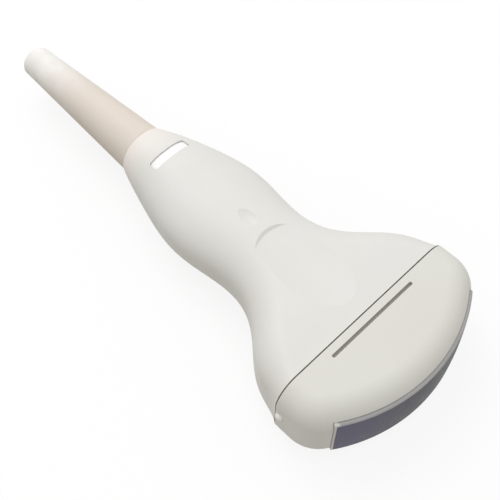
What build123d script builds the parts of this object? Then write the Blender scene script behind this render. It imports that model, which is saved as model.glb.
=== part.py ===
"""Convex ultrasound transducer probe, lying on its underside, nose towards +X, millimetres, +Z up."""
import os
from math import asin, cos, degrees, radians, sin, sqrt, tan

from build123d import *

os.makedirs("parts", exist_ok=True)

# Head and nose, measured along the probe axis from the rear face of the handle
seam_x = 98.5
head_half_width = 36.9
head_half_thick = 13.8
edge_round_side = 7.8
edge_round_depth = 8.5
front_radius = 53.9
front_x = 124.7
corner_radius = 12.0
wall = 2.2
rim_overlap = 0.4

# Handle sections: half width and half thickness at each station, and the share of each that is rounded
tail_radius = 9.25
tail_round_ratio = 0.97
tail_lip_round = 0.8
shoulder_x = 6.5
shoulder_half_width = 11.7
shoulder_half_thick = 11.0
shoulder_round_ratio = 0.94
palm_x = 21.0
palm_half_width = 16.2
palm_round_ratio = 0.9
grip_x = 41.0
grip_half_width = 18.6
grip_half_thick = 12.6
grip_round_ratio = 0.87
waist_x = 54.0
waist_half_width = 16.9
waist_round_ratio = 0.85
neck_x = 66.0
neck_half_width = 17.8
neck_half_thick = 12.6
neck_round_side = 13.1
neck_round_depth = 10.1
flare_x = 80.0
flare_half_width = 27.2
flare_half_thick = 13.15
flare_round_side = 12.6
flare_round_depth = 9.6
brow_x = 89.0
brow_half_width = 33.3
brow_half_thick = 13.6
brow_round_side = 10.4
brow_round_depth = 9.0
tail_wall = 5.0

# Seam between handle and nosepiece
seam_gap = 0.45
seam_recess = 0.4
tongue_length = 4.0
tongue_thick = 1.2
fit_clearance = 0.1

# Surface features
scoop_x = 72.5
scoop_apex_x = 58.5
scoop_half_length = 20.0
scoop_half_width = 10.0
scoop_depth = 1.1
scoop_rise_angle = 2.1
scoop_apex_radius = 9.0
scoop_draft_angle = 50.0
dimple_x = 50.4
dimple_half_length = 8.0
dimple_radius = 4.5
dimple_depth = 0.55
label_x = 14.2
label_length = 14.6
label_width = 3.8
label_corner = 0.9
label_recess = 0.9
label_film = 0.3
groove_ahead = 3.2
groove_half_length = 17.3
groove_width = 1.1
groove_depth = 1.3
marker_land = 0.05
marker_height = 1.8
marker_radius = 1.5
marker_proud = 1.2

# Array stack, radii about the vertical axis of the curved front
lens_margin = 6.9
lens_half_height = 8.5
lens_proud = 0.05
lens_dome = 0.25
lens_edge_thick = 0.9
bead_width = 0.75
bead_round = 0.6
bead_crease = 0.3
crease_depth = 0.55
matching_thick = 0.5
element_thick = 0.6
element_margin = 1.4
element_count = 48
kerf = 0.12
backing_margin = 0.2
backing_back_x = 106.2

# Carrier and its screws
carrier_thick = 4.5
carrier_side_gap = 1.8
carrier_corner = 2.4
lug_depth = 5.5
lug_reach = 9.4
lug_half_height = 4.0
lug_screw_inset = 6.8
m2_radius = 1.0
m2_head_radius = 1.9
m2_head_height = 1.4
m2_length = 6.0
hole_clearance = 0.15
thread_clearance = 0.03
counterbore_depth = 2.5

# Chassis, boards and connectors
spine_half_width = 9.8
spine_thick = 2.0
flange_thick = 1.5
flange_half_width = 16.0
flange_half_height = 5.4
flange_screw_y = 12.5
board_rear_x = 26.0
board_length = 40.0
board_half_width = 11.5
board_thick = 1.2
board_corner = 1.5
standoff_top = 3.0
standoff_radius = 2.0
standoff_rear_x = 30.0
standoff_front_x = 52.0
standoff_y = 7.5
small_radius = 0.8
small_head_radius = 1.45
small_head_height = 0.9
small_length = 3.2
connector_x = 61.5
connector_length = 7.0
connector_half_width = 8.5
inductor_rows = 5
inductor_pitch = 3.2
inductor_length = 2.0
inductor_width = 2.4
inductor_height = 1.4
inductor_y = 3.4
flex_thick = 0.2

# Cable end
boot_length = 60.0
boot_step = 0.3
boot_tip_radius = 5.55
boot_tip_round = 1.9
boot_base_round = 0.3
cable_radius = 3.4
gland_radius = 5.4
gland_bore_radius = 3.6
gland_flange_radius = 6.6
gland_flange_thick = 2.0
spigot_radius = 4.8
spigot_length = 8.0
barb_radius = 5.5
barb_length = 2.0
clamp_rear_x = 11.0
clamp_length = 8.0
clamp_bar_length = 5.0
clamp_half_width = 6.6
clamp_depth = 5.0
clamp_split = 0.4
clamp_bar_top = 4.8
clamp_screw_y = 5.0
clamp_screw_length = 8.0

# Sizes that follow from the ones above
front_axis_x = front_x - front_radius
gap_rear = seam_x - seam_gap / 2
gap_front = seam_x + seam_gap / 2
clearance_inset = wall + fit_clearance
tongue_inset = clearance_inset + tongue_thick
lens_half_angle = degrees(asin((head_half_width - lens_margin) / front_radius))
lens_edge_radius = front_radius + lens_proud
lens_inner_radius = lens_edge_radius - lens_edge_thick
matching_radius = lens_inner_radius - matching_thick
element_radius = matching_radius - element_thick
window_angle = lens_half_angle + degrees(bead_width / front_radius)
window_half_height = lens_half_height + bead_width
window_inner_radius = front_radius - wall * 2
element_half_height = lens_half_height - element_margin
array_half_angle = lens_half_angle - degrees(element_margin / front_radius)
backing_half_height = element_half_height + backing_margin
carrier_half_width = head_half_width - wall - carrier_side_gap
carrier_half_height = element_half_height
lug_inner_y = head_half_width - lug_reach
lug_screw_y = head_half_width - lug_screw_inset
boot_root_radius = tail_radius - boot_step
carrier_rear_x = backing_back_x - carrier_thick
flange_rear_x = carrier_rear_x - flange_thick
board_top = standoff_top + board_thick
board_front_x = board_rear_x + board_length
far = front_x * 2


def section(x, half_width, half_thick, round_side, round_depth, inset):
    """Closed profile across the axis with elliptical corners, moved inwards by the inset."""
    side = round_side - inset
    depth = round_depth - inset
    flat = half_width - round_side
    upright = half_thick - round_depth
    top = half_thick - inset
    edge = half_width - inset
    outline = [
        Line((-flat, top), (flat, top)),
        EllipticalCenterArc((flat, upright), side, depth, 0, arc_size=90),
        Line((edge, -upright), (edge, upright)),
        EllipticalCenterArc((flat, -upright), side, depth, 270, arc_size=90),
        Line((-flat, -top), (flat, -top)),
        EllipticalCenterArc((-flat, -upright), side, depth, 180, arc_size=90),
        Line((-edge, -upright), (-edge, upright)),
        EllipticalCenterArc((-flat, upright), side, depth, 90, arc_size=90),
    ]
    return Plane(origin=(x, 0, 0), x_dir=(0, 1, 0), z_dir=(1, 0, 0)) * make_face(outline)


def oval(x, half_width, half_thick, round_ratio, inset):
    """Handle section, nearly an ellipse."""
    return section(x, half_width, half_thick, half_width * round_ratio, half_thick * round_ratio, inset)


def handle_form(inset):
    """Handle from its rear face to the seam: one loft from the round tail to the flat wide head."""
    stations = [
        oval(0, tail_radius, tail_radius, tail_round_ratio, inset),
        oval(shoulder_x, shoulder_half_width, shoulder_half_thick, shoulder_round_ratio, inset),
        oval(palm_x, palm_half_width, grip_half_thick, palm_round_ratio, inset),
        oval(grip_x, grip_half_width, grip_half_thick, grip_round_ratio, inset),
        oval(waist_x, waist_half_width, neck_half_thick, waist_round_ratio, inset),
        section(neck_x, neck_half_width, neck_half_thick, neck_round_side, neck_round_depth, inset),
        section(flare_x, flare_half_width, flare_half_thick, flare_round_side, flare_round_depth, inset),
        section(brow_x, brow_half_width, brow_half_thick, brow_round_side, brow_round_depth, inset),
        section(seam_x, head_half_width, head_half_thick, edge_round_side, edge_round_depth, inset),
    ]
    return loft(stations)


def nose_path(inset):
    """Plan outline of the nose from the right end of the seam round the front to the left end."""
    half = head_half_width - inset
    corner = corner_radius - inset
    front = front_radius - inset
    reach = front - corner
    centre_y = half - corner
    centre_x = front_axis_x + sqrt(reach**2 - centre_y**2)
    spread = Vector(centre_x - front_axis_x, centre_y).normalized()
    halfway = (spread + Vector(0, 1)).normalized()
    start = Vector(seam_x, half)
    bend = Vector(centre_x, half)
    middle = Vector(centre_x, centre_y) + halfway * corner
    meet = Vector(front_axis_x, 0) + spread * front
    flip = Plane.XZ
    side = Line(start, bend)
    turn = ThreePointArc(bend, middle, meet)
    face = ThreePointArc(meet, Vector(front_axis_x + front, 0), Vector(meet.X, -meet.Y))
    return Wire([side, turn, face, mirror(turn, about=flip).edge(), mirror(side, about=flip).edge()])


def nose_form(inset):
    """Nose ahead of the seam plane: the rim profile swept round the plan outline, filled in the middle."""
    half = head_half_width - inset
    top = head_half_thick - inset
    side = edge_round_side - inset
    depth = edge_round_depth - inset
    flat = half - side
    upright = top - depth
    core = flat - rim_overlap
    rim = [
        Line((core, top), (flat, top)),
        EllipticalCenterArc((flat, upright), side, depth, 0, arc_size=90),
        Line((half, upright), (half, -upright)),
        EllipticalCenterArc((flat, -upright), side, depth, 270, arc_size=90),
        Line((flat, -top), (core, -top)),
        Line((core, -top), (core, top)),
    ]
    rim_face = Plane(origin=(seam_x, 0, 0), x_dir=(0, 1, 0), z_dir=(1, 0, 0)) * make_face(rim)
    swept = sweep(rim_face, path=nose_path(inset))
    inner = nose_path(inset + side + rim_overlap / 2)
    closing = Line(inner.position_at(1), inner.position_at(0))
    return swept + extrude(make_face([*inner.edges(), closing]), top, both=True)


def block(x0, x1, y0, y1, z0, z1):
    """Box between two opposite corners."""
    return Pos((x0 + x1) / 2, (y0 + y1) / 2, (z0 + z1) / 2) * Box(x1 - x0, y1 - y0, z1 - z0)


def slab(x0, x1):
    """Everything between two planes across the axis."""
    return block(x0, x1, -far, far, -far, far)


def rod_x(x0, x1, radius, y=0):
    """Cylinder along X at the middle height."""
    return Pos((x0 + x1) / 2, y, 0) * (Rot(0, 90, 0) * Cylinder(radius, x1 - x0))


def rod_z(x, y, z0, z1, radius):
    """Upright cylinder."""
    return Pos(x, y, (z0 + z1) / 2) * Cylinder(radius, z1 - z0)


def polar(radius, angle):
    """Plan point at a radius and an angle in degrees."""
    return (radius * cos(radians(angle)), radius * sin(radians(angle)))


def sector(inner, outer, half_angle, half_height):
    """Piece of a ring about the axis of the curved front, centred on the probe axis."""
    ring = [
        CenterArc((0, 0), outer, -half_angle, 2 * half_angle),
        Line(polar(outer, half_angle), polar(inner, half_angle)),
        CenterArc((0, 0), inner, -half_angle, 2 * half_angle),
        Line(polar(inner, -half_angle), polar(outer, -half_angle)),
    ]
    return Pos(front_axis_x, 0, 0) * extrude(make_face(ring), half_height, both=True)


def spindle(half_length, radius):
    """Ellipsoid of revolution about X."""
    side = [
        EllipticalCenterArc((0, 0), half_length, radius, 0, arc_size=180),
        Line((-half_length, 0), (half_length, 0)),
    ]
    return revolve(make_face(side), Axis.X)


def m2_screw(x, y):
    """Pan-head screw driven towards +X, its head seated at x."""
    head = rod_x(x - m2_head_height, x, m2_head_radius, y)
    head = fillet(head.edges().group_by(Axis.X)[0], m2_head_height * 0.4)
    drive = rod_x(x - m2_head_height, x - m2_head_height * 0.4, m2_head_radius * 0.4, y)
    return head + rod_x(x, x + m2_length, m2_radius, y) - drive


def small_screw(x, y, z, length):
    """Small screw driven downwards, its head seated at z."""
    head = rod_z(x, y, z, z + small_head_height, small_head_radius)
    drive = rod_z(x, y, z + small_head_height * 0.4, z + small_head_height, small_head_radius * 0.4)
    return head + rod_z(x, y, z - length, z, small_radius) - drive


def below(part):
    """The same piece mirrored to the lower side of the middle plane."""
    return mirror(part, about=Plane.XY)


def label_block(clearance):
    """Column over the label, its corners rounded, narrowed by a clearance all round."""
    long_half = label_length / 2 - clearance
    wide_half = label_width / 2 - clearance
    column = block(label_x - wide_half, label_x + wide_half, -long_half, long_half, 0, far)
    return fillet(column.edges().filter_by(Axis.Z), label_corner)


sides = (-1, 1)

# Handle shell: moulded sleeve with the scoop, the dimple and the label recess
hollow = handle_form(wall) & slab(tail_wall, far)
outer = handle_form(0) & slab(0, gap_rear)
outer = fillet(outer.edges().group_by(Axis.X)[0], tail_lip_round)
handle_shell = outer - hollow - rod_x(-tail_wall, tail_wall * 2, gland_radius + fit_clearance)
neck_share = (scoop_x - neck_x) / (flare_x - neck_x)
scoop_top = neck_half_thick + (flare_half_thick - neck_half_thick) * neck_share
dish_radius = (scoop_half_width**2 + scoop_depth**2) / (2 * scoop_depth)
dish = spindle(dish_radius * scoop_half_length / scoop_half_width, dish_radius)
dish = Pos(scoop_x, 0, scoop_top) * Rot(0, -scoop_rise_angle, 0) * Pos(0, 0, dish_radius - scoop_depth) * dish
edge_reach = scoop_half_length + scoop_x - scoop_apex_x
edge_spread = sqrt(scoop_apex_radius * edge_reach)
edge_flare = scoop_depth * 2 * tan(radians(scoop_draft_angle))
edge_low = Pos(0, 0, -scoop_depth) * Ellipse(edge_reach, edge_spread)
edge_high = Pos(0, 0, scoop_depth) * Ellipse(edge_reach + edge_flare, edge_spread + edge_flare)
scoop_edge = Pos(scoop_apex_x + edge_reach, 0, scoop_top) * loft([edge_low, edge_high], ruled=True)
scoop = dish & scoop_edge
dimple_top = neck_half_thick + dimple_radius - dimple_depth
dimple = Pos(dimple_x, 0, dimple_top) * spindle(dimple_half_length, dimple_radius)
label_seat = handle_form(label_recess)
handle_shell = handle_shell - scoop - dimple - (label_block(0) - label_seat)
label_plate = (label_block(fit_clearance) & handle_form(label_recess - label_film)) - label_seat

# Nosepiece: front frame with tongue, groove, marker, screw lugs and the lens window
tongue_outer = handle_form(clearance_inset)
tongue_core = nose_form(tongue_inset)
tongue_seat = nose_form(clearance_inset)
tongue = (tongue_outer & slab(seam_x - tongue_length, seam_x)) - handle_form(tongue_inset)
tongue_front = (tongue_seat & slab(seam_x, gap_front + tongue_thick)) - tongue_core
tongue_root = (nose_form(wall / 2) & slab(gap_front, gap_front + tongue_thick)) - tongue_core
outer_nose = nose_form(0)
lug_front_x = backing_back_x + lug_depth
lug = block(backing_back_x, lug_front_x, lug_inner_y, far, -lug_half_height, lug_half_height)
lugs = (lug + mirror(lug, about=Plane.XZ)) & nose_form(wall / 2)
marker_ball = (marker_radius**2 + marker_proud**2) / (2 * marker_proud)
marker_y = marker_ball - marker_proud - head_half_width
marker_x = gap_front + marker_ball + marker_land
marker = Pos(marker_x, marker_y, marker_height) * Sphere(marker_ball) - nose_form(wall / 2)
groove_x = seam_x + groove_ahead
groove_half = groove_width / 2
groove_floor = head_half_thick - groove_depth
groove = block(
    groove_x - groove_half, groove_x + groove_half, -groove_half_length, groove_half_length, groove_floor, far
)
groove = fillet(groove.edges().filter_by(Axis.Z), groove_half * 0.9)
window = sector(window_inner_radius, far, window_angle, window_half_height)
crease_angle = window_angle + degrees(bead_crease / front_radius)
crease_ring = sector(window_inner_radius, far, crease_angle, window_half_height + bead_crease)
crease = crease_ring - nose_form(crease_depth)
nosepiece = (outer_nose & slab(gap_front, far)) - nose_form(wall)
nosepiece = nosepiece + tongue + tongue_front + tongue_root + lugs + marker - groove - window - crease
screw_end_x = lug_front_x - wall / 4
for side in sides:
    nosepiece = nosepiece - rod_x(backing_back_x, screw_end_x, m2_radius + thread_clearance, side * lug_screw_y)

# Seam gasket in the gap, set back from the surface
gasket_rear = (handle_form(seam_recess) & slab(gap_rear, seam_x)) - tongue_outer
gasket_front = (nose_form(seam_recess) & slab(seam_x, gap_front)) - tongue_seat
seam_gasket = gasket_rear + gasket_front

# Lens with its domed face, and the bead sealed round it
dome = [
    Line((lens_inner_radius, -lens_half_height), (lens_inner_radius, lens_half_height)),
    Line((lens_inner_radius, lens_half_height), (lens_edge_radius, lens_half_height)),
    ThreePointArc(
        (lens_edge_radius, lens_half_height),
        (lens_edge_radius + lens_dome, 0),
        (lens_edge_radius, -lens_half_height),
    ),
    Line((lens_edge_radius, -lens_half_height), (lens_inner_radius, -lens_half_height)),
]
dome_face = Rot(0, 0, -lens_half_angle) * (Plane.XZ * make_face(dome))
acoustic_lens = Pos(front_axis_x, 0, 0) * revolve(dome_face, Axis.Z, 2 * lens_half_angle)
bead = sector(window_inner_radius, lens_edge_radius, window_angle, window_half_height)
bead_front = bead.faces().filter_by(GeomType.CYLINDER).sort_by(SortBy.AREA)[-1]
bead = fillet(bead_front.edges(), bead_round)
lens_seal_bead = bead - sector(wall, far, lens_half_angle, lens_half_height)

# Array stack behind the lens
matching_layer = sector(matching_radius, lens_inner_radius, array_half_angle, element_half_height)
pitch = 2 * array_half_angle / element_count
element_angle = pitch - degrees(kerf / element_radius)
element = sector(element_radius, matching_radius, element_angle / 2, element_half_height)
array_axis = Axis((front_axis_x, 0, 0), (0, 0, 1))
first_angle = (pitch - 2 * array_half_angle) / 2
elements = [element.rotate(array_axis, first_angle + pitch * i) for i in range(element_count)]
element_array = Compound(elements)
backing_block = sector(wall, element_radius, array_half_angle, backing_half_height) & slab(backing_back_x, far)

# Carrier behind the backing, with ears on the nosepiece lugs
carrier = block(
    carrier_rear_x,
    backing_back_x,
    -carrier_half_width,
    carrier_half_width,
    -carrier_half_height,
    carrier_half_height,
)
array_carrier = fillet(carrier.edges().filter_by(Axis.X), carrier_corner)
lug_seat_x = carrier_rear_x + counterbore_depth
screws = []
for side in sides:
    lug_y = side * lug_screw_y
    flange_y = side * flange_screw_y
    array_carrier = array_carrier - rod_x(carrier_rear_x, backing_back_x, m2_radius + hole_clearance, lug_y)
    array_carrier = array_carrier - rod_x(carrier_rear_x, lug_seat_x, m2_head_radius + hole_clearance, lug_y)
    array_carrier = array_carrier - rod_x(carrier_rear_x, backing_back_x, m2_radius + thread_clearance, flange_y)
    screws += [m2_screw(lug_seat_x, lug_y), m2_screw(flange_rear_x, flange_y)]
carrier_screws = Compound(screws)

# Chassis spine with front flange, standoffs and the cable saddle
clamp_front_x = clamp_rear_x + clamp_length
clamp_bar_front_x = clamp_rear_x + clamp_bar_length
spine = block(
    clamp_bar_front_x + fit_clearance,
    carrier_rear_x,
    -spine_half_width,
    spine_half_width,
    -spine_thick / 2,
    spine_thick / 2,
)
flange = block(
    flange_rear_x,
    carrier_rear_x,
    -flange_half_width,
    flange_half_width,
    -flange_half_height,
    flange_half_height,
)
saddle = block(clamp_rear_x, clamp_front_x, -clamp_half_width, clamp_half_width, -clamp_depth, 0)
cable_path = rod_x(0, clamp_front_x + cable_radius, cable_radius)
standoffs = [(x, side * standoff_y) for x in (standoff_rear_x, standoff_front_x) for side in sides]
clamp_screw_x = clamp_rear_x + clamp_bar_length / 2
pilot = small_radius + thread_clearance
chassis_spine = spine + fillet(flange.edges().filter_by(Axis.X), carrier_corner) + saddle - cable_path
for x, y in standoffs:
    chassis_spine = chassis_spine + rod_z(x, y, -standoff_top, standoff_top, standoff_radius)
for x, y in standoffs:
    chassis_spine = chassis_spine - rod_z(x, y, -standoff_top, standoff_top, pilot)
flange_hole = m2_radius + hole_clearance
for side in sides:
    chassis_spine = chassis_spine - rod_x(flange_rear_x, carrier_rear_x, flange_hole, side * flange_screw_y)
    chassis_spine = chassis_spine - rod_z(clamp_screw_x, side * clamp_screw_y, -clamp_depth, 0, pilot)

# Cable clamp bar and its screws
clamp_bar = block(clamp_rear_x, clamp_bar_front_x, -clamp_half_width, clamp_half_width, clamp_split, clamp_bar_top)
cable_clamp_bar = clamp_bar - cable_path
for side in sides:
    cable_clamp_bar = cable_clamp_bar - rod_z(
        clamp_screw_x, side * clamp_screw_y, 0, clamp_bar_top, small_radius + hole_clearance
    )
clamp_screws = Compound(
    [small_screw(clamp_screw_x, side * clamp_screw_y, clamp_bar_top, clamp_screw_length) for side in sides]
)

# Boards on both sides of the spine with connectors, inductors and screws
board = block(board_rear_x, board_front_x, -board_half_width, board_half_width, standoff_top, board_top)
board = fillet(board.edges().filter_by(Axis.Z), board_corner)
for x, y in standoffs:
    board = board - rod_z(x, y, standoff_top, board_top, small_radius + hole_clearance)
interconnect_board_upper = board
interconnect_board_lower = below(board)
connector_rear_x = connector_x - connector_length / 2
connector = block(
    connector_rear_x,
    connector_rear_x + connector_length,
    -connector_half_width,
    connector_half_width,
    board_top,
    backing_half_height,
)
flex_connectors = Compound([connector, below(connector)])
first_row_x = (standoff_rear_x + standoff_front_x - inductor_pitch * (inductor_rows - 1)) / 2
inductors = []
for row in range(inductor_rows):
    for side in sides:
        x = first_row_x + inductor_pitch * row
        body = Pos(x, side * inductor_y, board_top + inductor_height / 2)
        coil = body * Box(inductor_length, inductor_width, inductor_height)
        inductors += [coil, below(coil)]
tuning_inductors = Compound(inductors)
board_screw_set = []
for x, y in standoffs:
    screw = small_screw(x, y, board_top, small_length)
    board_screw_set += [screw, below(screw)]
board_screws = Compound(board_screw_set)

# Flex circuits from the array back to the connectors
flex_top = backing_half_height + flex_thick
flex_fan = sector(wall, element_radius, array_half_angle, flex_top)
flex_strip = block(connector_rear_x, front_x, -connector_half_width, connector_half_width, 0, flex_top)
flex_plan = (flex_fan & slab(backing_back_x, far)) + (flex_strip & slab(connector_rear_x, backing_back_x + wall))
flex_circuit_upper = flex_plan & block(-far, far, -far, far, backing_half_height, far)
flex_circuit_lower = below(flex_circuit_upper)

# Gland through the tail wall, and the boot pushed over its barbed spigot
cable_gland = rod_x(-spigot_length, tail_wall, spigot_radius)
cable_gland = cable_gland + rod_x(0, tail_wall, gland_radius)
cable_gland = cable_gland + rod_x(tail_wall, tail_wall + gland_flange_thick, gland_flange_radius)
barb_rear_x = barb_length / 2 - spigot_length
cable_gland = cable_gland + rod_x(barb_rear_x, barb_rear_x + barb_length, barb_radius)
cable_gland = cable_gland - rod_x(-far, far, gland_bore_radius)
boot_side = [
    Line((0, 0), (0, boot_root_radius)),
    Line((0, boot_root_radius), (-boot_length, boot_tip_radius)),
    Line((-boot_length, boot_tip_radius), (-boot_length, 0)),
    Line((-boot_length, 0), (0, 0)),
]
boot = revolve(make_face(boot_side), Axis.X)
boot = fillet(boot.edges().sort_by(Axis.X)[0], boot_tip_round)
boot = fillet(boot.edges().sort_by(Axis.X)[-1], boot_base_round)
strain_relief_boot = boot - rod_x(-far, far, cable_radius)
strain_relief_boot = strain_relief_boot - rod_x(-spigot_length - fit_clearance, 0, spigot_radius + fit_clearance)
strain_relief_boot = strain_relief_boot - rod_x(
    barb_rear_x - fit_clearance, barb_rear_x + barb_length + fit_clearance, barb_radius + fit_clearance
)

pieces = {
    "handle_shell": handle_shell,
    "label_plate": label_plate,
    "nosepiece": nosepiece,
    "seam_gasket": seam_gasket,
    "acoustic_lens": acoustic_lens,
    "lens_seal_bead": lens_seal_bead,
    "matching_layer": matching_layer,
    "element_array": element_array,
    "backing_block": backing_block,
    "array_carrier": array_carrier,
    "carrier_screws": carrier_screws,
    "chassis_spine": chassis_spine,
    "cable_clamp_bar": cable_clamp_bar,
    "clamp_screws": clamp_screws,
    "interconnect_board_upper": interconnect_board_upper,
    "interconnect_board_lower": interconnect_board_lower,
    "flex_connectors": flex_connectors,
    "tuning_inductors": tuning_inductors,
    "board_screws": board_screws,
    "flex_circuit_upper": flex_circuit_upper,
    "flex_circuit_lower": flex_circuit_lower,
    "cable_gland": cable_gland,
    "strain_relief_boot": strain_relief_boot,
}

# Origin at the middle of the footprint, on the floor the probe lies on
whole = Compound([handle_shell, nosepiece, acoustic_lens, strain_relief_boot]).bounding_box()
middle_x = (whole.min.X + whole.max.X) / 2
for name, piece in pieces.items():
    export_step(Pos(-middle_x, 0, -whole.min.Z) * piece, f"parts/{name}.step")
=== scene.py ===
"""Finishes, light and camera for a convex ultrasound probe lying on a pale studio floor."""

import bmesh
import bpy
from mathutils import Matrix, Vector


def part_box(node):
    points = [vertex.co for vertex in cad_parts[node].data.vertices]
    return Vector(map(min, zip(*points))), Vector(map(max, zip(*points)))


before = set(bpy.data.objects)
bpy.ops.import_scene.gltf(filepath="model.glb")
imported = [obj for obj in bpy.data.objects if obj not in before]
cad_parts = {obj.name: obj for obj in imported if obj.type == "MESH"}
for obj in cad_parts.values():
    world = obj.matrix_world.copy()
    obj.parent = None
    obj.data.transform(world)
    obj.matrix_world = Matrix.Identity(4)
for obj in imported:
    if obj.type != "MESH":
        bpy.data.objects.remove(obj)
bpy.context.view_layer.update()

bl_info = {
    "name": "Ultrasound probe finishes",
    "version": (1, 0, 0),
    "blender": (4, 5, 0),
    "location": "View3D > Sidebar > Probe",
    "description": "Dresses a convex ultrasound probe and sets a studio stage for it",
    "category": "Object",
}

WHITE = (1.0, 1.0, 1.0, 1.0)

# Blender's wave texture turns through this many radians per metre at a scale of 1
WAVE_RATE = 20

# Sockets of the Mix node for colours, whose names repeat for each kind of data
MIX_FACTOR = 0
MIX_FIRST = 6
MIX_SECOND = 7
MIX_RESULT = 2


def colour(name, description, default):
    """Linear colour property."""
    return bpy.props.FloatVectorProperty(
        name=name, description=description, subtype="COLOR", size=3, min=0.0, max=1.0, default=default
    )


def length(name, description, default):
    """Length property, in metres."""
    return bpy.props.FloatProperty(
        name=name,
        description=description,
        subtype="DISTANCE",
        unit="LENGTH",
        min=0.0,
        precision=5,
        default=default,
    )


def place(name, description, default):
    """Point in the probe's own frame, in metres."""
    return bpy.props.FloatVectorProperty(
        name=name, description=description, subtype="TRANSLATION", unit="LENGTH", size=3, default=default
    )


def share(name, description, default):
    """Share from none to all."""
    return bpy.props.FloatProperty(
        name=name, description=description, subtype="FACTOR", min=0.0, max=1.0, default=default
    )


def strength(name, description, default):
    """Strength of a light."""
    return bpy.props.FloatProperty(name=name, description=description, min=0.0, default=default)


class ProbeLook(bpy.types.PropertyGroup):
    """Colours and surface detail of the probe's pieces."""

    housing: colour("Housing", "Satin plastic of the handle", (0.79, 0.78, 0.75))
    housing_warm: colour("Housing tint", "Warmer tone that drifts over the handle", (0.775, 0.76, 0.715))
    tail: colour("Tail blush", "Warmer tone of the handle beside the boot", (0.87, 0.815, 0.765))
    nose: colour("Nose", "Plastic of the nosepiece", (0.76, 0.755, 0.705))
    nose_warm: colour("Nose tint", "Warmer tone that drifts over the nosepiece", (0.745, 0.732, 0.675))
    # Painted highlight: a paler colour on the crown of the orientation marker, standing in for the light it
    # catches
    marker: colour("Marker", "Painted highlight on the crown of the orientation marker", (0.93, 0.92, 0.89))
    # Painted shade: a darker colour laid inside the groove of the nosepiece, where shade falls
    groove_shade: colour("Groove shade", "Painted shade in the groove of the nosepiece", (0.54, 0.52, 0.48))
    lens: colour("Lens", "Silicone of the acoustic lens", (0.106, 0.112, 0.106))
    lens_blue: colour("Lens bloom", "Bluish bloom at the marker end of the lens", (0.165, 0.16, 0.228))
    bead: colour("Bead", "Sealant round the lens", (0.43, 0.425, 0.42))
    # Painted highlight: a paler colour on the sealant at the marker end of the lens
    bead_highlight: colour("Bead highlight", "Painted highlight on the sealant at the marker end of the lens", (0.7, 0.69, 0.655))
    gasket: colour("Gasket", "Rubber in the seam", (0.16, 0.155, 0.14))
    label: colour("Label", "Bare film of the label plate", (0.97, 0.965, 0.955))
    boot: colour("Boot", "Elastomer of the strain relief", (0.768, 0.69, 0.617))
    boot_pale: colour("Boot tip", "Paler tone towards the tip of the boot", (0.955, 0.94, 0.92))
    aluminium: colour("Aluminium", "Machined frame parts inside", (0.72, 0.72, 0.74))
    steel: colour("Steel", "Screws", (0.58, 0.58, 0.6))
    brass: colour("Brass", "Turned cable gland", (0.68, 0.5, 0.2))
    laminate: colour("Laminate", "Solder mask of the boards", (0.02, 0.16, 0.06))
    trace: colour("Traces", "Copper runs under the solder mask", (0.05, 0.3, 0.11))
    film: colour("Film", "Polyimide of the flex circuits", (0.42, 0.17, 0.03))
    copper: colour("Copper", "Conductors on the flex circuits", (0.62, 0.3, 0.12))
    ceramic: colour("Ceramic", "Diced piezo elements", (0.52, 0.47, 0.37))
    resin: colour("Resin", "Matching layer", (0.33, 0.27, 0.2))
    absorber: colour("Absorber", "Filled backing behind the elements", (0.05, 0.05, 0.055))
    ferrite: colour("Ferrite", "Tuning inductors", (0.07, 0.07, 0.075))
    black: colour("Black plastic", "Board connectors", (0.03, 0.03, 0.032))
    grain: length("Grain", "Size of the spark-eroded grain on the mouldings", 0.00022)
    grain_depth: length("Grain depth", "Depth of the grain", 0.000006)
    drift: length("Drift", "Size of the slow colour changes on the mouldings", 0.045)
    blush: length("Blush", "Reach of the warmer tone beside the boot", 0.014)
    groove_ahead: length("Groove place", "From the seam to the middle of the groove", 0.0032)
    groove_width: length("Groove width", "Width of the groove", 0.0011)
    groove_length: length("Groove length", "Length of the groove", 0.0346)
    marker_rise: length("Marker rise", "How far the orientation marker stands out", 0.0012)
    bead_highlight_reach: length("Bead highlight reach", "How far the painted highlight reaches along the lens", 0.0016)
    satin: share("Satin", "Roughness of the mouldings", 0.46)


class ProbeStage(bpy.types.PropertyGroup):
    """Camera, key lamp, sky and floor."""

    camera: place("Camera", "Where the camera stands", (0.1359, -0.1166, 0.2698))
    aim: place("Aim", "Point in the middle of the picture", (0.0219, -0.003, 0.015))
    lens: bpy.props.FloatProperty(
        name="Focal length", description="Lens of the camera, in millimetres", default=68.4
    )
    key_place: place("Key lamp", "Where the large soft key lamp hangs", (-0.57, 0.18, 0.79))
    key_size: length("Key size", "Side of the key lamp", 0.7)
    key: strength("Key strength", "Power of the key lamp, in watts", 3.4)
    sky: strength("Sky strength", "Soft light from all round", 0.755)
    floor: colour("Floor", "Floor as it lights the probe from below", (0.26, 0.245, 0.19))
    floor_size: length("Floor size", "Side of the floor", 4.0)
    floor_glow: share("Floor white", "Share of the floor's look that is plain white near the probe", 0.85)
    floor_near: length("Floor near", "Where the floor starts to fade to plain white", 0.2)
    floor_far: length("Floor far", "Where the floor is plain white", 0.6)


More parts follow.
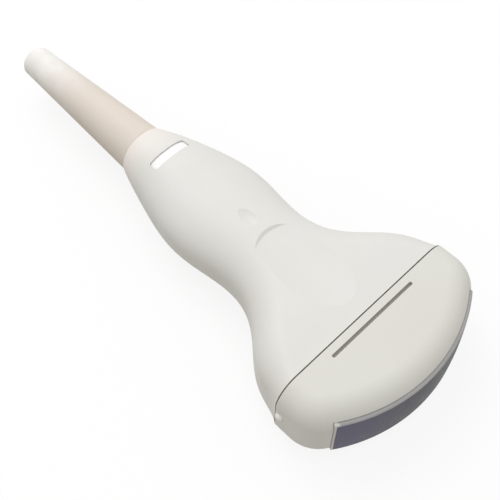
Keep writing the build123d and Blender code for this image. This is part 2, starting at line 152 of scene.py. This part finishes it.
class Finish:
    """A node material in the making, with its shader and its object coordinates."""

    def __init__(self, name):
        self.material = bpy.data.materials.new(name)
        self.material.use_nodes = True
        self.nodes = self.material.node_tree.nodes
        self.shader = self.nodes["Principled BSDF"]
        self.coordinates = self.nodes.new("ShaderNodeTexCoord").outputs["Object"]

    def link(self, source, target):
        self.material.node_tree.links.new(source, target)

    def set(self, socket, value):
        """A constant value on one of the shader's own sockets."""
        self.shader.inputs[socket].default_value = value

    def stretched(self, scale):
        """Object coordinates scaled per axis."""
        mapping = self.nodes.new("ShaderNodeMapping")
        mapping.inputs["Scale"].default_value = scale
        self.link(self.coordinates, mapping.inputs["Vector"])
        return mapping.outputs["Vector"]

    def noise(self, size, detail=2.0, vector=None):
        """Soft noise whose blotches are about this large, in metres."""
        node = self.nodes.new("ShaderNodeTexNoise")
        node.inputs["Scale"].default_value = 1 / size
        node.inputs["Detail"].default_value = detail
        self.link(vector or self.coordinates, node.inputs["Vector"])
        return node.outputs["Fac"]

    def cells(self, size):
        """Distance to scattered points, for grains."""
        node = self.nodes.new("ShaderNodeTexVoronoi")
        node.inputs["Scale"].default_value = 1 / size
        self.link(self.coordinates, node.inputs["Vector"])
        return node.outputs["Distance"]

    def bands(self, radian, axis):
        """Waves across one axis, in which a radian is this long, in metres."""
        node = self.nodes.new("ShaderNodeTexWave")
        node.bands_direction = axis
        node.inputs["Scale"].default_value = 1 / (radian * WAVE_RATE)
        self.link(self.coordinates, node.inputs["Vector"])
        return node.outputs["Fac"]

    def along(self, axis, start, end):
        """From 0 to 1 between two places on an axis."""
        split = self.nodes.new("ShaderNodeSeparateXYZ")
        self.link(self.coordinates, split.inputs["Vector"])
        return self.ranged(split.outputs[axis], start=start, end=end, shape="SMOOTHSTEP")

    def ranged(self, value, low=0.0, high=1.0, start=0.3, end=0.7, shape="LINEAR"):
        """A value carried over from start and end, which suit soft noise, to low and high."""
        node = self.nodes.new("ShaderNodeMapRange")
        node.interpolation_type = shape
        for socket, number in (("From Min", start), ("From Max", end), ("To Min", low), ("To Max", high)):
            node.inputs[socket].default_value = number
        self.link(value, node.inputs["Value"])
        return node.outputs["Result"]

    def mixed(self, factor, first, second):
        """Two colours mixed by a factor; each is a colour or another node's output."""
        node = self.nodes.new("ShaderNodeMix")
        node.data_type = "RGBA"
        self.link(factor, node.inputs[MIX_FACTOR])
        for index, value in ((MIX_FIRST, first), (MIX_SECOND, second)):
            socket = node.inputs[index]
            if isinstance(value, bpy.types.NodeSocket):
                self.link(value, socket)
            else:
                socket.default_value = (*value, 1.0)
        return node.outputs[MIX_RESULT]

    def times(self, first, second):
        """Product of two factors."""
        node = self.nodes.new("ShaderNodeMath")
        node.operation = "MULTIPLY"
        self.link(first, node.inputs[0])
        self.link(second, node.inputs[1])
        return node.outputs["Value"]

    def within(self, axis, low, high, soft):
        """1 between two places on an axis and 0 outside them, with soft ends."""
        return self.times(self.along(axis, low - soft, low), self.along(axis, high + soft, high))

    def paint(self, source):
        self.link(source, self.shader.inputs["Base Color"])

    def tint(self, mask, tone):
        """Another colour over what is painted so far, as far as the mask goes."""
        painted = self.shader.inputs["Base Color"].links[0].from_socket
        self.paint(self.mixed(mask, painted, tone))

    def roughen(self, source):
        self.link(source, self.shader.inputs["Roughness"])

    def bump(self, height, depth, share_of_it=1.0):
        """Relief of a depth in metres."""
        node = self.nodes.new("ShaderNodeBump")
        node.inputs["Strength"].default_value = share_of_it
        node.inputs["Distance"].default_value = depth
        self.link(height, node.inputs["Height"])
        self.link(node.outputs["Normal"], self.shader.inputs["Normal"])


def shaded(tone, factor):
    """A colour made darker or lighter by a factor."""
    return [min(1.0, part * factor) for part in tone]


def dress(names, finish):
    """Give the named pieces of the frame one finish."""
    for name in names:
        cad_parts[name].material_slots[0].material = finish.material


def moulded_plastic(name, look, plain, warm):
    """Satin moulded plastic: a slow drift of tone, faint mottling and a spark-eroded grain."""
    finish = Finish(name)
    finish.set("Specular IOR Level", 0.42)
    drift = finish.ranged(finish.noise(look.drift, detail=1.0))
    mottle = finish.ranged(finish.noise(size=0.004, detail=3.0), high=0.12)
    tone = finish.mixed(drift, plain, warm)
    finish.paint(finish.mixed(mottle, tone, shaded(warm, 0.94)))
    wear = finish.noise(size=0.012, detail=3.0)
    finish.roughen(finish.ranged(wear, low=look.satin - 0.05, high=look.satin + 0.05))
    finish.bump(finish.cells(look.grain), look.grain_depth, share_of_it=0.6)
    return finish


def lens_silicone(look):
    """Smooth dark silicone, bluish from the marker end to the middle, with fine streaks along the strip."""
    finish = Finish("lens_silicone_smooth")
    finish.set("Specular IOR Level", 0.06)
    low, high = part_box("acoustic_lens")
    bloom_end = high.y * 0.1
    bloom = finish.mixed(finish.along("Y", low.y, bloom_end), look.lens_blue, look.lens)
    haze = finish.ranged(finish.noise(size=0.014), high=0.25)
    streaks = finish.noise(size=0.0006, vector=finish.stretched(scale=(1.0, 0.12, 1.0)))
    finish.paint(finish.mixed(haze, bloom, look.lens_blue))
    finish.roughen(finish.ranged(streaks, low=0.36, high=0.5))
    finish.bump(streaks, depth=0.000003)
    return finish


def soft_rubber(name, plain, rough, grain, depth):
    """Matte elastomer or plastic with a fine skin."""
    finish = Finish(name)
    finish.set("Specular IOR Level", 0.3)
    mottle = finish.ranged(finish.noise(size=0.003, detail=3.0))
    finish.paint(finish.mixed(mottle, plain, shaded(plain, 0.95)))
    finish.roughen(finish.ranged(finish.noise(size=0.006), low=rough - 0.06, high=rough + 0.06))
    finish.bump(finish.noise(grain), depth)
    return finish


def boot_elastomer(look):
    """Warm beige elastomer that pales towards its tip, with a soft bloom."""
    tip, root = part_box("strain_relief_boot")
    finish = Finish("boot_elastomer")
    finish.set("Specular IOR Level", 0.3)
    pale_end = tip.x + (root.x - tip.x) * 0.6
    tone = finish.mixed(finish.along("X", tip.x, pale_end), look.boot_pale, look.boot)
    mottle = finish.ranged(finish.noise(size=0.005, detail=3.0), high=0.3)
    finish.paint(finish.mixed(mottle, tone, shaded(look.boot, 0.95)))
    finish.roughen(finish.ranged(finish.noise(size=0.007), low=0.5, high=0.62))
    finish.bump(finish.noise(size=0.0003), depth=0.000006)
    return finish


def label_film(look):
    """Bare white film with a slight orange peel."""
    finish = Finish("label_film_bare")
    finish.set("Specular IOR Level", 0.5)
    haze = finish.ranged(finish.noise(size=0.003))
    finish.paint(finish.mixed(haze, look.label, shaded(look.label, 0.985)))
    finish.roughen(finish.ranged(finish.noise(size=0.002), low=0.28, high=0.36))
    finish.bump(finish.noise(size=0.0008, detail=1.0), depth=0.000004)
    return finish


def milled_metal(name, plain, rough, stretch):
    """Metal with fine tool marks drawn out along one direction."""
    finish = Finish(name)
    finish.set("Metallic", 1.0)
    marks = finish.noise(size=0.0004, detail=3.0, vector=finish.stretched(stretch))
    finish.paint(finish.mixed(finish.ranged(marks), plain, shaded(plain, 0.86)))
    finish.roughen(finish.ranged(marks, low=rough - 0.07, high=rough + 0.07))
    finish.bump(marks, depth=0.000008)
    return finish


def speckled(name, plain, grain, rough):
    """Sintered or filled material with grains of lighter and darker tone."""
    finish = Finish(name)
    specks = finish.ranged(finish.cells(grain), start=0.1, end=0.8)
    finish.paint(finish.mixed(specks, shaded(plain, 1.25), shaded(plain, 0.8)))
    finish.roughen(finish.ranged(finish.noise(grain * 4), low=rough - 0.06, high=rough + 0.06))
    finish.bump(finish.cells(grain), depth=0.00001)
    return finish


def board_mask(look):
    """Green solder mask with copper runs showing through it."""
    finish = Finish("board_mask")
    runs = finish.ranged(finish.bands(radian=0.0011, axis="Y"), start=0.55, end=0.7)
    weave = finish.ranged(finish.noise(size=0.0007), high=0.35)
    finish.paint(finish.mixed(weave, finish.mixed(runs, look.laminate, look.trace), look.laminate))
    finish.roughen(finish.ranged(finish.noise(size=0.003), low=0.3, high=0.4))
    finish.bump(runs, depth=0.00003)
    return finish


def flex_film(look):
    """Amber film with fine copper conductors along it."""
    finish = Finish("flex_film_traced")
    runs = finish.ranged(finish.bands(radian=0.0005, axis="Y"), start=0.45, end=0.6)
    finish.paint(finish.mixed(runs, look.film, look.copper))
    finish.roughen(finish.ranged(finish.noise(size=0.002), low=0.25, high=0.36))
    finish.bump(runs, depth=0.00001)
    return finish


class PROBE_OT_housing(bpy.types.Operator):
    """Finish the moulded handle shell"""

    bl_idname = "probe.housing"
    bl_label = "Handle shell"

    def execute(self, context):
        look = context.scene.probe_look
        finish = moulded_plastic("housing_satin", look, look.housing, look.housing_warm)
        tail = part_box("handle_shell")[0].x
        finish.tint(finish.along("X", tail + look.blush, tail), look.tail)
        dress(["handle_shell"], finish)
        return {"FINISHED"}


class PROBE_OT_nosepiece(bpy.types.Operator):
    """Finish the nosepiece in its slightly warmer plastic"""

    bl_idname = "probe.nosepiece"
    bl_label = "Nosepiece"

    def execute(self, context):
        look = context.scene.probe_look
        finish = moulded_plastic("nose_satin", look, look.nose, look.nose_warm)
        low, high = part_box("nosepiece")
        rear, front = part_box("seam_gasket")
        groove = (rear.x + front.x) / 2 + look.groove_ahead
        half = look.groove_width / 2
        # Painted shade in the groove: its inside below the top face is darkened, standing in for the shade
        # that falls in it
        across = finish.within("X", groove - half, groove + half, soft=half * 0.1)
        down_in = finish.times(across, finish.along("Z", high.z, high.z - half))
        reach = look.groove_length / 2
        finish.tint(finish.times(down_in, finish.within("Y", -reach, reach, soft=half)), look.groove_shade)
        # Painted highlight: the marker's crown, which stands out furthest on the -Y side of the nosepiece,
        # is painted paler as if lit
        finish.tint(finish.along("Y", low.y + look.marker_rise, low.y + look.marker_rise / 2), look.marker)
        dress(["nosepiece"], finish)
        return {"FINISHED"}


class PROBE_OT_lens(bpy.types.Operator):
    """Finish the acoustic lens and the bead sealed round it"""

    bl_idname = "probe.lens"
    bl_label = "Lens and bead"

    def execute(self, context):
        look = context.scene.probe_look
        dress(["acoustic_lens"], lens_silicone(look))
        sealant = soft_rubber("bead_sealant_smooth", look.bead, rough=0.42, grain=0.0008, depth=0.000008)
        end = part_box("lens_seal_bead")[0].y
        # Painted highlight: the bead is painted paler at its marker end, as if light caught it there
        sealant.tint(sealant.along("Y", end + look.bead_highlight_reach, end + look.bead_highlight_reach / 2), look.bead_highlight)
        dress(["lens_seal_bead"], sealant)
        return {"FINISHED"}


class PROBE_OT_seam(bpy.types.Operator):
    """Finish the gasket in the seam"""

    bl_idname = "probe.seam"
    bl_label = "Seam gasket"

    def execute(self, context):
        look = context.scene.probe_look
        rubber = soft_rubber("gasket_matte", look.gasket, rough=0.65, grain=0.0004, depth=0.00001)
        dress(["seam_gasket"], rubber)
        return {"FINISHED"}


class PROBE_OT_label(bpy.types.Operator):
    """Finish the bare label plate"""

    bl_idname = "probe.label"
    bl_label = "Label plate"

    def execute(self, context):
        dress(["label_plate"], label_film(context.scene.probe_look))
        return {"FINISHED"}


class PROBE_OT_boot(bpy.types.Operator):
    """Finish the strain-relief boot"""

    bl_idname = "probe.boot"
    bl_label = "Strain-relief boot"

    def execute(self, context):
        dress(["strain_relief_boot"], boot_elastomer(context.scene.probe_look))
        return {"FINISHED"}


class PROBE_OT_array(bpy.types.Operator):
    """Finish the array stack behind the lens"""

    bl_idname = "probe.array"
    bl_label = "Array stack"

    def execute(self, context):
        look = context.scene.probe_look
        resin = speckled("matching_resin_filled", look.resin, grain=0.0003, rough=0.5)
        dress(["matching_layer"], resin)
        ceramic = speckled("piezo_ceramic_diced", look.ceramic, grain=0.00015, rough=0.6)
        dress(["element_array"], ceramic)
        absorber = speckled("backing_absorber", look.absorber, grain=0.0004, rough=0.55)
        dress(["backing_block"], absorber)
        return {"FINISHED"}


class PROBE_OT_chassis(bpy.types.Operator):
    """Finish the carrier, the spine, the cable clamp and the gland"""

    bl_idname = "probe.chassis"
    bl_label = "Chassis and gland"

    def execute(self, context):
        look = context.scene.probe_look
        milled = milled_metal("aluminium_milled", look.aluminium, rough=0.34, stretch=(0.08, 1.0, 1.0))
        dress(["array_carrier", "chassis_spine", "cable_clamp_bar"], milled)
        turned = milled_metal("brass_turned", look.brass, rough=0.28, stretch=(1.0, 0.1, 0.1))
        dress(["cable_gland"], turned)
        return {"FINISHED"}


class PROBE_OT_screws(bpy.types.Operator):
    """Finish the screws"""

    bl_idname = "probe.screws"
    bl_label = "Screws"

    def execute(self, context):
        look = context.scene.probe_look
        steel = milled_metal("screw_steel_turned", look.steel, rough=0.3, stretch=(1.0, 1.0, 0.2))
        dress(["carrier_screws", "clamp_screws", "board_screws"], steel)
        return {"FINISHED"}


class PROBE_OT_boards(bpy.types.Operator):
    """Finish the boards, their connectors and inductors, and the flex circuits"""

    bl_idname = "probe.boards"
    bl_label = "Boards and flex circuits"

    def execute(self, context):
        look = context.scene.probe_look
        dress(["interconnect_board_upper", "interconnect_board_lower"], board_mask(look))
        plastic = soft_rubber("connector_black", look.black, rough=0.45, grain=0.0003, depth=0.000008)
        dress(["flex_connectors"], plastic)
        ferrite = speckled("inductor_ferrite_sintered", look.ferrite, grain=0.0002, rough=0.5)
        dress(["tuning_inductors"], ferrite)
        dress(["flex_circuit_upper", "flex_circuit_lower"], flex_film(look))
        return {"FINISHED"}


def floor_finish(stage):
    """Floor that is white to the camera and in reflections, and takes a faint shadow near the probe."""
    finish = Finish("floor_pale")
    nodes = finish.nodes
    nodes.remove(finish.shader)
    paper = finish.ranged(finish.noise(size=0.05))
    plain = nodes.new("ShaderNodeBsdfDiffuse")
    tone = finish.mixed(paper, stage.floor, shaded(stage.floor, 0.99))
    finish.link(tone, plain.inputs["Color"])
    shown = nodes.new("ShaderNodeBsdfDiffuse")
    shown.inputs["Color"].default_value = WHITE
    glow = nodes.new("ShaderNodeEmission")
    white = nodes.new("ShaderNodeMixShader")
    reach = nodes.new("ShaderNodeVectorMath")
    reach.operation = "LENGTH"
    finish.link(finish.coordinates, reach.inputs[0])
    fade = finish.ranged(
        reach.outputs["Value"],
        low=stage.floor_glow,
        start=stage.floor_near,
        end=stage.floor_far,
        shape="SMOOTHSTEP",
    )
    finish.link(fade, white.inputs["Fac"])
    finish.link(shown.outputs["BSDF"], white.inputs[1])
    finish.link(glow.outputs["Emission"], white.inputs[2])
    choice = nodes.new("ShaderNodeMixShader")
    finish.link(seen_directly(nodes, finish.link), choice.inputs["Fac"])
    finish.link(plain.outputs["BSDF"], choice.inputs[1])
    finish.link(white.outputs["Shader"], choice.inputs[2])
    finish.link(choice.outputs["Shader"], nodes["Material Output"].inputs["Surface"])
    return finish


def seen_directly(nodes, link):
    """1 for rays from the camera and for mirrored or refracted ones, else 0."""
    path = nodes.new("ShaderNodeLightPath")
    total = path.outputs["Is Camera Ray"]
    for kind in ("Is Glossy Ray", "Is Transmission Ray"):
        larger = nodes.new("ShaderNodeMath")
        larger.operation = "MAXIMUM"
        link(total, larger.inputs[0])
        link(path.outputs[kind], larger.inputs[1])
        total = larger.outputs["Value"]
    return total


def aimed(thing, target):
    """Turn a camera or lamp so that it looks at a point."""
    thing.rotation_euler = (Vector(target) - thing.location).to_track_quat("-Z", "Y").to_euler()


class PROBE_OT_stage(bpy.types.Operator):
    """Lay the floor and set the lamp, the sky and the camera"""

    bl_idname = "probe.stage"
    bl_label = "Studio stage"

    def execute(self, context):
        stage = context.scene.probe_stage
        self.lay_floor(context, stage)
        self.hang_lamp(context, stage)
        self.light_sky(context, stage)
        self.set_camera(context, stage)
        context.scene.view_settings.view_transform = "Standard"
        return {"FINISHED"}

    def lay_floor(self, context, stage):
        mesh = bpy.data.meshes.new("studio_floor")
        shape = bmesh.new()
        bmesh.ops.create_grid(shape, x_segments=1, y_segments=1, size=stage.floor_size / 2)
        shape.to_mesh(mesh)
        shape.free()
        floor = bpy.data.objects.new("studio_floor", mesh)
        mesh.materials.append(floor_finish(stage).material)
        context.scene.collection.objects.link(floor)

    def hang_lamp(self, context, stage):
        data = bpy.data.lights.new("key_lamp", "AREA")
        data.size = stage.key_size
        data.energy = stage.key
        lamp = bpy.data.objects.new("key_lamp", data)
        lamp.location = stage.key_place
        aimed(lamp, stage.aim)
        context.scene.collection.objects.link(lamp)

    def light_sky(self, context, stage):
        world = bpy.data.worlds.new("studio_sky")
        world.use_nodes = True
        nodes = world.node_tree.nodes
        links = world.node_tree.links
        sky = nodes["Background"]
        sky.inputs["Color"].default_value = WHITE
        level = nodes.new("ShaderNodeMapRange")
        level.inputs["To Min"].default_value = stage.sky
        level.inputs["To Max"].default_value = 1.0
        links.new(seen_directly(nodes, links.new), level.inputs["Value"])
        links.new(level.outputs["Result"], sky.inputs["Strength"])
        context.scene.world = world

    def set_camera(self, context, stage):
        data = bpy.data.cameras.new("studio_camera")
        data.lens = stage.lens
        data.clip_start = 0.01
        camera = bpy.data.objects.new("studio_camera", data)
        camera.location = stage.camera
        aimed(camera, stage.aim)
        context.scene.collection.objects.link(camera)
        context.scene.camera = camera


PIECES = (
    PROBE_OT_housing,
    PROBE_OT_nosepiece,
    PROBE_OT_lens,
    PROBE_OT_seam,
    PROBE_OT_label,
    PROBE_OT_boot,
    PROBE_OT_array,
    PROBE_OT_chassis,
    PROBE_OT_screws,
    PROBE_OT_boards,
    PROBE_OT_stage,
)


class PROBE_PT_panel(bpy.types.Panel):
    """Lists the probe's pieces and its stage"""

    bl_label = "Ultrasound probe"
    bl_idname = "PROBE_PT_panel"
    bl_space_type = "VIEW_3D"
    bl_region_type = "UI"
    bl_category = "Probe"

    def draw(self, context):
        layout = self.layout
        for piece in PIECES:
            layout.operator(piece.bl_idname)
        for group in (context.scene.probe_look, context.scene.probe_stage):
            box = layout.box()
            for key in group.__annotations__:
                box.prop(group, key)


CLASSES = (ProbeLook, ProbeStage, *PIECES, PROBE_PT_panel)


def register():
    for item in CLASSES:
        bpy.utils.register_class(item)
    bpy.types.Scene.probe_look = bpy.props.PointerProperty(type=ProbeLook)
    bpy.types.Scene.probe_stage = bpy.props.PointerProperty(type=ProbeStage)


def unregister():
    del bpy.types.Scene.probe_stage
    del bpy.types.Scene.probe_look
    for item in reversed(CLASSES):
        bpy.utils.unregister_class(item)


def main():
    """Dress the probe piece by piece and set the stage."""
    register()
    bpy.ops.probe.housing()
    bpy.ops.probe.nosepiece()
    bpy.ops.probe.lens()
    bpy.ops.probe.seam()
    bpy.ops.probe.label()
    bpy.ops.probe.boot()
    bpy.ops.probe.array()
    bpy.ops.probe.chassis()
    bpy.ops.probe.screws()
    bpy.ops.probe.boards()
    bpy.ops.probe.stage()


if __name__ == "__main__":
    main()
